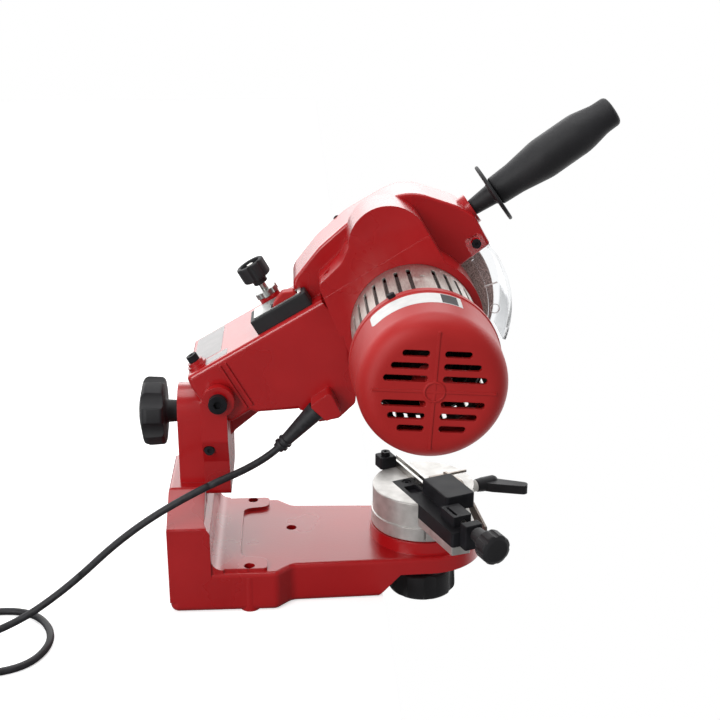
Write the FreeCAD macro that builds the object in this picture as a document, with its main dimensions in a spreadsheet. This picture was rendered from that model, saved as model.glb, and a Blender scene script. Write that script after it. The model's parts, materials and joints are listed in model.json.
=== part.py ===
import FreeCAD, Part
import math
import os
import re

import Sketcher
from FreeCAD import Placement, Rotation, Vector

# Bench chain sharpener, in millimetres. +X is the operator's side, +Y is the side away from
# the motor, +Z is up, and the origin lies under the rear bench bolts, on the foot's plane.

SIZES = {
    # base casting
    "foot_rear": 66,
    "foot_front": 106,
    "base_half": 69.5,
    "waist_half": 56.5,
    "waist_x": 36,
    "bump_x": 23,
    "plate_top": 35.5,
    "pad_rise": 3,
    "pad_front": 15,
    "pad_strip": 8,
    "base_wall": 5,
    "foot_web": 10,
    "bench_bolt_radius": 4.5,
    "bench_bolt_y": 61.4,
    "centre_hole_x": 35,
    "centre_hole_y": 11,
    "centre_boss_radius": 9,
    "nose_under": 21,
    "nose_slope": 21,
    "nose_radius": 52,
    "pedestal_radius": 46.5,
    "pedestal_top": 46.8,
    "rear_wall_front": 31,
    "wall_fillet": 10,
    "shoulder_low": 76,
    "shoulder_high": 98,
    "post_front": 35.5,
    "post_rear": 57,
    "post_half": 24,
    # head tilt
    "tilt_height": 153.8,
    "tilt_stud_radius": 6,
    "tilt_knob_radius": 28.5,
    "tilt_knob_width": 21,
    "tilt_neck_radius": 9,
    "tilt_neck_length": 11,
    "bracket_thick": 21,
    "bracket_foot": 92,
    "bracket_half": 44,
    "ear_thick": 9,
    "ear_radius": 13,
    "face_gap": 0.3,
    # arm and its hinge
    "pivot_x": -20.8,
    "pivot_z": 181.8,
    "arm_angle": 30,
    "pivot_bolt_radius": 5,
    "running_gap": 0.05,
    "arm_half": 46,
    "barrel_radius": 13,
    "arm_top": 28,
    "arm_front": 117,
    "flange_y": 64,
    # grinding wheel and its guard
    "wheel_reach": 166.1,
    "wheel_rise": -20.8,
    "wheel_radius": 72.5,
    "wheel_thick": 3.2,
    "wheel_bore_radius": 11.1,
    "chamber_near": 20,
    "chamber_far": 20,
    "guard_wall": 3.5,
    "guard_clear": 9.9,
    "cover_thick": 2.5,
    # motor
    "tube_radius": 49,
    "tube_wall": 1.6,
    "tube_end": 153,
    "tube_seam": 57,
    "tube_slots": 32,
    "cap_over_tube": 5.5,
    "cap_face_over": 2.3,
    "cap_back": 146,
    "cap_face": 207,
    "cap_round": 15,
    "cap_wall": 3,
    "cap_clock": 33.6,
    "vent_pitch": 8.9,
    "shaft_radius": 6,
    # handle
    "handle_ahead": 84.2,
    "handle_h": 20.6,
    "handle_angle": 5.3,
    "disc_from_root": 19,
    "grip_length": 112,
    # turntable and vise
    "table_x": 150.4,
    "table_turn": 22,
    "table_radius": 45,
    "table_top_radius": 44,
    "table_low": 47.1,
    "table_top": 82,
    "table_stud_radius": 5,
    "table_knob_radius": 30,
    "table_knob_low": 20.5,
    "table_knob_high": 4,
    "vise_left": 24,
    "vise_right": 1,
    "vise_far": 13,
    "vise_near": 95,
    "vise_low": 69.5,
    "bar_low": 62.5,
    "bar_right": 8,
    "bar_near": 97,
    "rail_top": 88,
    "rail_thick": 2.4,
    "rail_gap": 3.6,
    "rail_mid": 3,
    "rail_far": 52,
    "rail_near": 17,
    "stop_w": 9,
    "stop_z": 84.8,
    # mains cord, its coil and plug
    "cord_radius": 3,
    "coil_x": -235,
    "coil_y": -190,
    "coil_mid_radius": 33,
    "plug_radius": 18.5,
}

doc = FreeCAD.newDocument("chain_sharpener")
sheet = doc.addObject("Spreadsheet::Sheet", "Sizes")
for row, (alias, size) in enumerate(SIZES.items(), 1):
    sheet.set("A%d" % row, alias)
    sheet.set("B%d" % row, str(size))
    sheet.setAlias("B%d" % row, alias)
doc.recompute()

ALIASES = re.compile(r"\b(%s)\b" % "|".join(sorted(SIZES, key=len, reverse=True)))
NODES = []


def bound(text):
    """An expression with each size written as its cell's name."""
    return ALIASES.sub(r"Sizes.\1", str(text))


def value(text):
    result = sheet.evalExpression(bound(text))
    return float(getattr(result, "Value", result))


def is_plain(text):
    return re.fullmatch(r"-?[0-9.]+", str(text)) is not None


def bind(thing, prop, text):
    if is_plain(text):
        setattr(thing, prop, float(text))
    else:
        thing.setExpression(prop, bound(text))


def part(name, frame="bench", at=("0", "0", "0"), lean="0"):
    """A new body for a node. The frame is the bench's, the head's or the table's; at is a place
    in that frame, and lean turns the body there about the frame's own Y axis."""
    body = doc.addObject("PartDesign::Body", name)
    body.Label = name
    x, y, z = at
    if frame == "head":
        axis, angle = Vector(0, -1, 0), "arm_angle + (%s)" % lean
        place = ("pivot_x + (%s) * cos(arm_angle) - (%s) * sin(arm_angle)" % (x, z), y,
                 "pivot_z + (%s) * sin(arm_angle) + (%s) * cos(arm_angle)" % (x, z))
    elif frame == "table":
        axis, angle = Vector(0, 0, 1), "table_turn"
        place = ("table_x + (%s) * cos(table_turn) - (%s) * sin(table_turn)" % (x, y),
                 "(%s) * sin(table_turn) + (%s) * cos(table_turn)" % (x, y), z)
    else:
        axis, angle, place = Vector(0, -1, 0), lean, at
    body.Placement = Placement(Vector(), Rotation(axis, 0.001))
    body.setExpression("Placement.Rotation.Angle", bound("(%s) * 1" % angle))
    for letter, text in zip("xyz", place):
        body.setExpression("Placement.Base." + letter, bound("(%s) * 1" % text))
    NODES.append(body)
    return body


def new_sketch(body, plane, shift, lean="0"):
    """A sketch on one of the body's planes, moved by shift and leant about the plane's -Y."""
    sketch = body.newObject("Sketcher::SketchObject", body.Name + "_sketch")
    origin = [item for item in body.Origin.OriginFeatures if item.Role == plane + "_Plane"][0]
    sketch.AttachmentSupport = [(origin, "")]
    sketch.MapMode = "FlatFace"
    plain = [float(text) if is_plain(text) else 0.0 for text in shift]
    sketch.AttachmentOffset = Placement(Vector(*plain), Rotation(Vector(0, -1, 0), value(lean)))
    for letter, text in zip("xyz", shift):
        if not is_plain(text):
            bind(sketch, "AttachmentOffset.Base." + letter, text)
    if not is_plain(lean):
        bind(sketch, "AttachmentOffset.Rotation.Angle", lean)
    return sketch


def measure(sketch, kind, *refs_and_text):
    *refs, text = refs_and_text
    index = sketch.addConstraint(Sketcher.Constraint(kind, *refs, value(text)))
    if not is_plain(text):
        sketch.setExpression("Constraints[%d]" % index, bound(text))


def polygon(sketch, points):
    """Closes a profile through points (x, y) or (x, y, corner radius)."""
    spots = [Vector(value(point[0]), value(point[1]), 0) for point in points]
    radii = [value(point[2]) if len(point) > 2 else 0 for point in points]
    count = len(spots)
    starts, middles, ends = [], [], []
    for i, here in enumerate(spots):
        back = (spots[i - 1] - here).normalize()
        ahead = (spots[(i + 1) % count] - here).normalize()
        half = back.getAngle(ahead) / 2
        run = radii[i] / math.tan(half)
        centre = here + (back + ahead).normalize() * (radii[i] / math.sin(half))
        starts.append(here + back * run)
        ends.append(here + ahead * run)
        middles.append(centre + (here - centre).normalize() * radii[i] if radii[i] else here)
    lines = [Part.LineSegment(ends[i], starts[(i + 1) % count]) for i in range(count)]
    sketch.addGeometry(lines, False)
    for i, here in enumerate(spots):
        before = (i - 1) % count
        if radii[i]:
            arc = sketch.addGeometry(Part.Arc(starts[i], middles[i], ends[i]), False)
            left = (here - spots[i - 1]).cross(spots[(i + 1) % count] - here).z > 0
            first, last = (1, 2) if left else (2, 1)
            corner = sketch.addGeometry(Part.Point(here), True)
            sketch.addConstraint([
                Sketcher.Constraint("Tangent", before, 2, arc, first),
                Sketcher.Constraint("Tangent", arc, last, i, 1),
                Sketcher.Constraint("PointOnObject", corner, 1, before),
                Sketcher.Constraint("PointOnObject", corner, 1, i)])
            measure(sketch, "Radius", arc, points[i][2])
        else:
            sketch.addConstraint(Sketcher.Constraint("Coincident", before, 2, i, 1))
            corner = i
        measure(sketch, "DistanceX", -1, 1, corner, 1, points[i][0])
        measure(sketch, "DistanceY", -1, 1, corner, 1, points[i][1])


def extrude(body, sketch, low, high, cut):
    kind = "Pocket" if cut else "Pad"
    before = body.Shape.Volume if cut else 0
    step = body.newObject("PartDesign::" + kind, body.Name + "_" + kind.lower())
    step.Profile = sketch
    step.Reversed = cut
    bind(step, "Length", "(%s) - (%s)" % (high, low))
    sketch.Visibility = False
    doc.recompute()
    if cut and body.Shape.Volume >= before - 1e-6:
        raise RuntimeError("%s: a pocket cuts nothing" % body.Label)
    return step


def prism(body, plane, points, low, high, cut=False):
    """A profile on a plane, swept from low to high along the axis across it."""
    level = "-(%s)" % high if plane == "XZ" else low
    sketch = new_sketch(body, plane, ("0", "0", level))
    polygon(sketch, points)
    return extrude(body, sketch, low, high, cut)


def disc(body, axis, at, radius, low, high, cut=False):
    """A round pad or hole along an axis, centred at two coordinates across it."""
    plane = {"X": "YZ", "Y": "XZ", "Z": "XY"}[axis]
    level = "-(%s)" % high if plane == "XZ" else low
    sketch = new_sketch(body, plane, ("0", "0", level))
    centre = Vector(value(at[0]), value(at[1]), 0)
    circle = sketch.addGeometry(Part.Circle(centre, Vector(0, 0, 1), value(radius)), False)
    measure(sketch, "DistanceX", -1, 1, circle, 3, at[0])
    measure(sketch, "DistanceY", -1, 1, circle, 3, at[1])
    measure(sketch, "Radius", circle, radius)
    return extrude(body, sketch, low, high, cut)


def turned(body, axis, at, points, cut=False, lean="0"):
    """A profile of points (radius, place along the axis) turned about a line parallel to X, Y
    or Z that passes through two coordinates across it. A line along X may lean upwards."""
    if axis == "X":
        sketch = new_sketch(body, "XY", ("0", at[0], at[1]), lean)
        points = [(point[1], point[0]) + tuple(point[2:]) for point in points]
    elif axis == "Y":
        sketch = new_sketch(body, "XY", (at[0], "0", at[1]))
    else:
        sketch = new_sketch(body, "XZ", (at[0], "0", "-(%s)" % at[1]))
    polygon(sketch, points)
    kind = "Groove" if cut else "Revolution"
    before = body.Shape.Volume if cut else 0
    step = body.newObject("PartDesign::" + kind, body.Name + "_" + kind.lower())
    step.Profile = sketch
    step.ReferenceAxis = (sketch, ["H_Axis" if axis == "X" else "V_Axis"])
    step.Angle = 360
    sketch.Visibility = False
    doc.recompute()
    if cut and body.Shape.Volume >= before - 1e-6:
        raise RuntimeError("%s: a groove cuts nothing" % body.Label)
    return step


def around(body, step, turn, count, sweep=360):
    """Repeats a step round the axis of a turned one."""
    pattern = body.newObject("PartDesign::PolarPattern", body.Name + "_ring")
    pattern.Originals = [step]
    pattern.Axis = turn.ReferenceAxis
    pattern.Angle = sweep
    pattern.Occurrences = count
    body.Tip = pattern
    doc.recompute()


def rounded(body, radius, chosen, kind="Fillet"):
    """Rounds, or chamfers, the edges of the body that the test picks."""
    doc.recompute()
    tip = body.Tip
    edges = ["Edge%d" % i for i, edge in enumerate(tip.Shape.Edges, 1) if chosen(edge)]
    if not edges:
        raise RuntimeError("%s: no edge to round" % body.Label)
    step = body.newObject("PartDesign::" + kind, body.Name + "_" + kind.lower())
    step.Base = (tip, edges)
    bind(step, "Radius" if kind == "Fillet" else "Size", radius)
    doc.recompute()
    if not body.Shape.isValid() or set(step.State) & {"Invalid", "Error"}:
        raise RuntimeError("%s: the rounding failed" % body.Label)
    return step


def flat_at(axis, level, also=lambda edge: True):
    """Edges that lie wholly at one level along an axis."""
    low, high = axis + "Min", axis + "Max"

    def test(edge):
        box = edge.BoundBox
        place = value(level)
        near = abs(getattr(box, low) - place) < 0.01 and abs(getattr(box, high) - place) < 0.01
        return near and also(edge)
    return test


def ring(inner, outer, low, high):
    return [(inner, low), (outer, low), (outer, high), (inner, high)]


def rod(radius, low, high):
    return ring("0", radius, low, high)


def screw(name, frame, axis, at, head_radius, shank_radius, head_at, seat_at, tip_at, socket="2.5"):
    """A cap screw: its head from seat_at to head_at, its shank on to tip_at, and a hex socket."""
    body = part(name, frame)
    turned(body, axis, at, [("0", head_at), (head_radius, head_at), (head_radius, seat_at),
                            (shank_radius, seat_at), (shank_radius, tip_at), ("0", tip_at)])
    plane = {"X": "YZ", "Y": "XZ", "Z": "XY"}[axis]
    depth = "(%s) * 0.55 + (%s) * 0.45" % (head_at, seat_at)
    low, high = (depth, head_at) if value(head_at) > value(seat_at) else (head_at, depth)
    corners = [("%s + (%s) * %.4f" % (at[0], socket, math.cos(math.radians(60 * i))),
                "%s + (%s) * %.4f" % (at[1], socket, math.sin(math.radians(60 * i))))
               for i in range(6)]
    prism(body, plane, corners, low, high, cut=True)
    return body


def mirrored(points):
    """A profile with its points repeated across the first coordinate's zero."""
    other = [("-(%s)" % point[0],) + tuple(point[1:]) for point in reversed(points)]
    return list(points) + other


# --- base casting: a hollow foot with ribs, a turntable pedestal and a rear post ---
base = part("base_casting")
prism(base, "XY", [("-foot_rear", "-base_half", "7"), ("bump_x", "-base_half", "8"),
                   ("waist_x", "-waist_half", "9"), ("table_x", "-nose_radius"),
                   ("table_x", "nose_radius"), ("waist_x", "waist_half", "9"),
                   ("bump_x", "base_half", "8"), ("-foot_rear", "base_half", "7")],
      "0", "plate_top")
disc(base, "Z", ("table_x", "0"), "nose_radius", "0", "plate_top")
prism(base, "XZ", [("foot_front", "-1"), ("foot_front + nose_slope", "nose_under"),
                   ("table_x + nose_radius + 5", "nose_under"),
                   ("table_x + nose_radius + 5", "-1")], "-80", "80", cut=True)
rounded(base, "3.5", flat_at("Z", "plate_top"))
rounded(base, "6", flat_at("Z", "0", lambda edge: edge.BoundBox.XMax < -value("foot_rear") + 0.01))

# raised strip that carries the bench bolts, and the pedestal under the turntable
prism(base, "XY", [("-foot_rear + 4", "-base_half + 3.5"), ("pad_front", "-base_half + 3.5", "4"),
                   ("pad_front", "-48", "8"), ("-pad_strip", "-44", "8"),
                   ("-pad_strip", "44", "8"), ("pad_front", "48", "8"),
                   ("pad_front", "base_half - 3.5", "4"),
                   ("-foot_rear + 4", "base_half - 3.5")], "plate_top - 1", "plate_top + pad_rise")
disc(base, "Z", ("table_x", "0"), "pedestal_radius", "plate_top - 1", "pedestal_top")

# rear wall with sloping shoulders, then the post, round about the tilt axis
prism(base, "XZ", [("-foot_rear", "foot_web"), ("-rear_wall_front", "foot_web"),
                   ("-rear_wall_front", "shoulder_low - 3", "3"),
                   ("-post_front - 0.3", "shoulder_low + 3", "3"),
                   ("-post_front - 0.3", "shoulder_high"), ("-foot_rear", "shoulder_high", "3")],
      "-base_half", "base_half")
prism(base, "XZ", [("-rear_wall_front - 2", "plate_top - 2"),
                   ("-rear_wall_front + wall_fillet", "plate_top - 2"),
                   ("-rear_wall_front + wall_fillet", "plate_top + pad_rise"),
                   ("-rear_wall_front", "plate_top + pad_rise", "wall_fillet - 0.5"),
                   ("-rear_wall_front", "plate_top + pad_rise + wall_fillet"),
                   ("-rear_wall_front - 2", "plate_top + pad_rise + wall_fillet")],
      "-base_half + 1.5", "base_half - 1.5")
for side in ("-", ""):
    prism(base, "YZ", [(side + "(base_half + 1)", "shoulder_low"),
                       (side + "(base_half - 3)", "shoulder_low + 1", "5"),
                       (side + "(post_half + 8)", "shoulder_high", "6"),
                       (side + "(post_half + 8)", "shoulder_high + 9"),
                       (side + "(base_half + 1)", "shoulder_high + 9")], "-foot_rear - 1", "0",
          cut=True)
prism(base, "YZ", [("-post_half", "foot_web"), ("post_half", "foot_web"),
                   ("post_half", "tilt_height"), ("-post_half", "tilt_height")],
      "-post_rear", "-post_front")
disc(base, "X", ("0", "tilt_height"), "post_half", "-post_rear", "-post_front")

# hollow underside: rear bay under the wall, front bay, and the bay under the turntable
prism(base, "XY", [("-foot_rear + base_wall", "-base_half + base_wall", "3"),
                   ("-foot_web / 2", "-base_half + base_wall", "3"),
                   ("-foot_web / 2", "base_half - base_wall", "3"),
                   ("-foot_rear + base_wall", "base_half - base_wall", "3")],
      "-1", "plate_top - base_wall", cut=True)
prism(base, "XY", [("foot_web / 2", "-waist_half + base_wall", "3"),
                   ("foot_front - base_wall", "-waist_half + base_wall", "3"),
                   ("foot_front - base_wall", "waist_half - base_wall", "3"),
                   ("foot_web / 2", "waist_half - base_wall", "3")],
      "-1", "plate_top - base_wall", cut=True)
prism(base, "XY", [("-foot_rear + base_wall", "-base_half + 2 * base_wall", "3"),
                   ("-rear_wall_front - base_wall", "-base_half + 2 * base_wall", "3"),
                   ("-rear_wall_front - base_wall", "base_half - 2 * base_wall", "3"),
                   ("-foot_rear + base_wall", "base_half - 2 * base_wall", "3")],
      "plate_top - base_wall - 1", "shoulder_low - 8", cut=True)
turned(base, "Z", ("table_x", "0"), [("12", "nose_under - 1"), ("nose_radius - 6", "nose_under - 1"),
                                     ("nose_radius - 6", "plate_top"), ("12", "plate_top")],
       cut=True)

# bosses round the bench bolts and the centre hole, down to the foot
for side in ("-", ""):
    disc(base, "Z", ("0", side + "bench_bolt_y"), "bench_bolt_radius + 4", "0",
         "plate_top - base_wall + 1")
disc(base, "Z", ("centre_hole_x", "centre_hole_y"), "centre_boss_radius", "0",
     "plate_top - base_wall + 1")
for side in ("-", ""):
    disc(base, "Z", ("0", side + "bench_bolt_y"), "bench_bolt_radius", "-1", "plate_top + 10",
         cut=True)
disc(base, "Z", ("centre_hole_x", "centre_hole_y"), "bench_bolt_radius", "-1", "plate_top + 10",
     cut=True)
disc(base, "Z", ("table_x", "0"), "table_stud_radius + running_gap", "nose_under - 1",
     "pedestal_top + 1", cut=True)
disc(base, "X", ("0", "tilt_height"), "tilt_stud_radius + running_gap", "-post_rear - 1",
     "-post_front + 1", cut=True)

# --- head tilt: stud, lobed knob and the bracket that carries the arm's hinge ---
stud = part("tilt_stud")
turned(stud, "X", ("0", "tilt_height"), rod("tilt_stud_radius", "-post_rear - 26", "-16"))
rounded(stud, "1", lambda edge: edge.Length < 60, "Chamfer")

knob = part("tilt_knob")
knob_end = "-post_rear - face_gap"
spin = turned(knob, "X", ("0", "tilt_height"), [
    ("tilt_stud_radius + running_gap", knob_end), ("tilt_neck_radius", knob_end),
    ("tilt_neck_radius + 0.8", knob_end + " - tilt_neck_length", "3"),
    ("tilt_knob_radius", knob_end + " - tilt_neck_length", "3"),
    ("tilt_knob_radius + 1", knob_end + " - tilt_neck_length - tilt_knob_width + 4", "5"),
    ("12", knob_end + " - tilt_neck_length - tilt_knob_width", "6"),
    ("0", knob_end + " - tilt_neck_length - tilt_knob_width"),
    ("0", "-post_rear - 28"), ("tilt_stud_radius + running_gap", "-post_rear - 28")])
flute = disc(knob, "X", ("0", "tilt_height + tilt_knob_radius + 6"), "9.5",
             "-post_rear - 40", knob_end + " - tilt_neck_length + 1", cut=True)
around(knob, flute, spin, 7)

bracket = part("tilt_bracket")
ear_in = "arm_half + face_gap"
ear_out = "arm_half + face_gap + ear_thick"
half_bracket = [("38", "bracket_foot", "8"), ("bracket_half", "bracket_foot + 34"),
                (ear_out, "bracket_foot + 56", "8"), (ear_out, "pivot_z"), (ear_in, "pivot_z"),
                (ear_in, "pivot_z - 28.5", "2"), ("arm_half - 6", "pivot_z - 28.5", "2"),
                ("arm_half - 6", "pivot_z - 15.5", "3")]
prism(bracket, "YZ", mirrored(half_bracket), "-post_front + 0.5",
      "-post_front + 0.5 + bracket_thick")
for low, high in ((ear_in, ear_out), ("-(%s)" % ear_out, "-(%s)" % ear_in)):
    disc(bracket, "Y", ("pivot_x", "pivot_z"), "ear_radius", low, high)
# stop tongue that reaches forward inside the arm, under the depth screw
prism(bracket, "XZ", [("-post_front + 12", "bracket_foot + 30"), ("-10", "bracket_foot + 46"),
                      ("22", "164", "10"), ("57", "pivot_z"), ("57", "pivot_z + 10.1"),
                      ("46", "pivot_z + 10.1"), ("14", "pivot_z - 3", "12"),
                      ("-post_front + 12", "pivot_z - 24")], "-6", "6")
disc(bracket, "X", ("0", "tilt_height"), "tilt_stud_radius + running_gap", "-post_front",
     "-15.5", cut=True)
disc(bracket, "Y", ("pivot_x", "pivot_z"), "pivot_bolt_radius + running_gap", "-80", "80", cut=True)
STOP_HOLE = ("-post_front + 6", "139")
disc(bracket, "Y", STOP_HOLE, "2.3", "-arm_half - 14", "-arm_half + 16", cut=True)
disc(bracket, "Y", STOP_HOLE, "4.8", "-arm_half - 14", "-arm_half - 2.9", cut=True)

screw("tilt_stop_screw", "bench", "Y", STOP_HOLE, "4", "2.25", "-arm_half - 6", "-arm_half - 3",
      "-arm_half + 14", "1.8")

screw("pivot_bolt", "bench", "Y", ("pivot_x", "pivot_z"), "7.5", "pivot_bolt_radius",
      "-(%s) - 6" % ear_out, "-(%s) - 0.02" % ear_out, ear_out + " + 9", "3.5")
nut = part("pivot_nut")
nut_at = [("pivot_x + 9 * %.4f" % math.cos(math.radians(60 * i)),
           "pivot_z + 9 * %.4f" % math.sin(math.radians(60 * i))) for i in range(6)]
prism(nut, "XZ", nut_at, ear_out + " + 0.02", ear_out + " + 7")
disc(nut, "Y", ("pivot_x", "pivot_z"), "pivot_bolt_radius + 0.02", "40", "80", cut=True)

# --- arm casting: a trough on the hinge, the motor flange and the wheel guard in one piece ---
arm = part("arm_casting", "head")
prism(arm, "XZ", [("-13", "-11", "5"), ("-2.3", "-23.2", "5"), ("16", "-22.6", "2"),
                  ("19.5", "-26.5", "2"), ("50.7", "-42", "4"), ("100", "-42", "4"),
                  ("arm_front", "-9"), ("arm_front - 5", "arm_top"), ("-12.4", "arm_top", "3"),
                  ("-14.3", "18", "3")], "-arm_half", "arm_half")
prism(arm, "XZ", [("-9", "arm_top - base_wall", "3"), ("82", "arm_top - base_wall", "3"),
                  ("82", "-70"), ("-30", "-70"), ("-30", "8"), ("-9", "8", "2")],
      "-arm_half + base_wall", "arm_half - base_wall", cut=True)
rounded(arm, "4", flat_at("Z", "arm_top", lambda edge: edge.BoundBox.XLength > 50
                          and abs(edge.BoundBox.YMax) > 40))
prism(arm, "XZ", [("50.7", "-42"), ("52", "-43", "1"), ("58.5", "-59", "4"), ("74", "-64.5", "5"),
                  ("92", "-60", "5"), ("104", "-42"), ("104", "-25"), ("54", "-25")],
      "-arm_half", "-26")
prism(arm, "XZ", [("66.8", "-55.6", "2"), ("80", "-58", "3"), ("82", "-36", "3"),
                  ("61.8", "-38.3", "2")], "-arm_half - 16", "-arm_half + 1")
disc(arm, "Y", ("0", "0"), "barrel_radius", "-arm_half", "arm_half")
for rib in ("15.3", "20.3"):
    prism(arm, "XZ", [(rib + " - 1", "-18"), (rib + " + 1", "-18"), (rib + " + 1", "arm_top - 5"),
                      (rib + " - 1", "arm_top - 5")], "-arm_half - 1.6", "-arm_half + 1")

# the handle's own line leans up from the arm and meets the boss's face
HANDLE_LINE = ("0", "handle_h - (wheel_reach + handle_ahead) * tan(handle_angle)")
HANDLE_FACE = "(wheel_reach + handle_ahead) / cos(handle_angle)"

# guard over the wheel, and the hump behind it that carries the motor flange
prism(arm, "XZ", [("84", "20"), ("98.8", "48.7", "12"), ("129.4", "61", "60"),
                  ("160.8", "67.2", "60"), ("212", "67", "40"), ("241", "34", "20"),
                  ("wheel_reach + wheel_radius + guard_clear", "20", "8"),
                  ("wheel_reach + wheel_radius + guard_clear", "-6", "2"), ("211.7", "-10.7", "2"),
                  ("150", "-30"), ("96", "-41"), ("84", "-41")], "-chamber_near - 5", "chamber_far")
rounded(arm, "2.5", lambda edge: abs(edge.BoundBox.YMax + value("chamber_near") + 5) < 0.01
        and edge.BoundBox.YLength < 0.01 and edge.BoundBox.ZMin > 49)
disc(arm, "Y", ("180.5", "44.5"), "30.5", "-flange_y", "-chamber_near - 1")
prism(arm, "XZ", [("112", "0"), ("118.5", "44.2", "5"), ("143", "50.5", "10"), ("158", "62"),
                  ("180", "50"), ("211", "44.5"), ("211.7", "-5"), ("160", "-10")],
      "-flange_y", "-chamber_near - 1")
disc(arm, "Y", ("wheel_reach", "wheel_rise"), "tube_radius + cap_over_tube + 0.5", "-flange_y",
     "-chamber_near - 1")
turned(arm, "X", HANDLE_LINE, rod("13", HANDLE_FACE + " - 28", HANDLE_FACE), lean="handle_angle")
disc(arm, "Z", ("72", "0"), "9", "arm_top - 8", "arm_top + 15")
disc(arm, "Z", ("-3", "-30"), "6.5", "arm_top - 4", "arm_top + 5")
disc(arm, "Z", ("-3", "-30"), "8.2", "arm_top - 4", "arm_top + 2.2")

# parting step across the hump, level with the arm's top, and the clip slot at its foot
prism(arm, "XZ", [("100", "33.3"), ("211", "35.6"), ("240", "35.6"), ("240", "90"), ("100", "90")],
      "-flange_y - 1", "-flange_y + 0.8", cut=True)
disc(arm, "Z", ("128", "-48"), "3.2", "40", "60", cut=True)

# far corner beside the guard, wheel chamber, motor seat, bearing seat and holes
prism(arm, "XZ", [("88", "-90"), ("150", "-90"), ("150", "60"), ("88", "60")],
      "chamber_far", "arm_half + 2", cut=True)
disc(arm, "Y", ("wheel_reach", "wheel_rise"), "wheel_radius + guard_clear - guard_wall", "-chamber_near",
     "chamber_far + 1", cut=True)
turned(arm, "Y", ("wheel_reach", "wheel_rise"), [
    ("0", "-flange_y - 1"), ("tube_radius + 0.1", "-flange_y - 1"),
    ("tube_radius + 0.1", "-flange_y + 6"), ("tube_radius - 6", "-flange_y + 6"),
    ("tube_radius - 6", "-38", "4"), ("11.02", "-38"), ("11.02", "-30.98"),
    ("shaft_radius + 1.5", "-30.98"), ("shaft_radius + 1.5", "-chamber_near + 2"),
    ("0", "-chamber_near + 2")], cut=True)
turned(arm, "X", HANDLE_LINE, rod("5.02", HANDLE_FACE + " - 9", HANDLE_FACE + " + 1"), cut=True,
       lean="handle_angle")
disc(arm, "Y", ("0", "0"), "pivot_bolt_radius + running_gap", "-60", "60", cut=True)
disc(arm, "Z", ("72", "0"), "2.85", "0", "arm_top + 30", cut=True)
disc(arm, "Z", ("-3", "-30"), "2.5", "arm_top - 7", "arm_top + 10", cut=True)
for spot in (("104", "30"), ("150", "62.5"), ("232", "36")):
    disc(arm, "Y", spot, "1.6", "chamber_far - 9", "chamber_far + 1", cut=True)
disc(arm, "Y", ("239", "1"), "1.6", "-chamber_near - 6", "-chamber_near + 1", cut=True)

screw("limit_screw", "head", "Z", ("-3", "-30"), "4.6", "2.45", "arm_top + 10.5", "arm_top + 5.05",
      "arm_top - 6", "2.2")

cover = part("guard_cover", "head")
prism(cover, "XZ", [("89", "20", "6"), ("98.8", "48.7", "12"), ("129.4", "61", "60"),
                    ("160.8", "67.2", "60"), ("212", "67", "40"), ("241", "34", "20"),
                    ("wheel_reach + wheel_radius + guard_clear", "20", "8"),
                    ("wheel_reach + wheel_radius + guard_clear", "-6", "2"), ("211.7", "-10.7", "2"),
                    ("150", "-30", "10"), ("96", "-41", "3"), ("89", "-30", "6")],
      "chamber_far + 0.02", "chamber_far + cover_thick")
rounded(cover, "0.8", flat_at("Y", "chamber_far + cover_thick"))
for spot in (("104", "30"), ("150", "62.5"), ("232", "36")):
    disc(cover, "Y", spot, "1.9", "chamber_far - 1", "chamber_far + 5", cut=True)

shield = part("clear_guard", "head")


def ray(degrees, reach):
    """The place on the head that lies at an angle and a distance from the wheel's axle."""
    return ("wheel_reach + cos(%s) * (%s)" % (degrees, reach),
            "wheel_rise + sin(%s) * (%s)" % (degrees, reach))


prism(shield, "XZ", [ray(9.8, "50"), ray(9.8, "110"), ray(-20, "120"), ray(-48, "110"),
                     ray(-48, "50")], "-chamber_near - 7.5", "chamber_far")
turned(shield, "Y", ("wheel_reach", "wheel_rise"),
       ring("wheel_radius + guard_clear + 0.6", "140", "-60", "60"), cut=True)
disc(shield, "Y", ("wheel_reach", "wheel_rise"), "wheel_radius + guard_clear - 1.9", "-chamber_near - 5.3",
     "chamber_far + 1", cut=True)
disc(shield, "Y", ("wheel_reach", "wheel_rise"), "64", "-60", "60", cut=True)
prism(shield, "XZ", [("231", "-12"), ("243", "-12"), ("246", "-2"), ("246", "7", "4"),
                     ("231", "7", "4")], "-chamber_near - 7.5", "-chamber_near - 5.3")
disc(shield, "Y", ("239", "1"), "1.9", "-50", "-20", cut=True)
screw("clear_guard_screw", "head", "Y", ("239", "1"), "3.6", "1.55", "-chamber_near - 10.2",
      "-chamber_near - 7.52", "-chamber_near + 0.5", "1.6")

# --- motor: slotted tube, domed end cap, stator and bearings ---
AXLE = ("wheel_reach", "wheel_rise")
HUB = ("0", "0")
ON_AXLE = ("wheel_reach", "0", "wheel_rise")
tube = part("motor_tube", "head", ON_AXLE, "tube_seam - 90")
spin = turned(tube, "Y", HUB, ring("tube_radius - tube_wall", "tube_radius", "-tube_end",
                                   "-flange_y + 6"))
disc(tube, "Z", ("0", "-97"), "2.2", "tube_radius - 0.5", "tube_radius + 2", cut=True)
first = "tube_radius * sin(360 / tube_slots)"
slot = prism(tube, "XY", [(first + " - 1.5", "-145", "1.4"), (first + " + 1.5", "-145", "1.4"),
                          (first + " + 1.5", "-77", "1.4"), (first + " - 1.5", "-77", "1.4")],
             "tube_radius - 8", "tube_radius + 5", cut=True)
slots = int(value("tube_slots"))
around(tube, slot, spin, slots - 1, 360 * (slots - 2) / slots)

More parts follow.
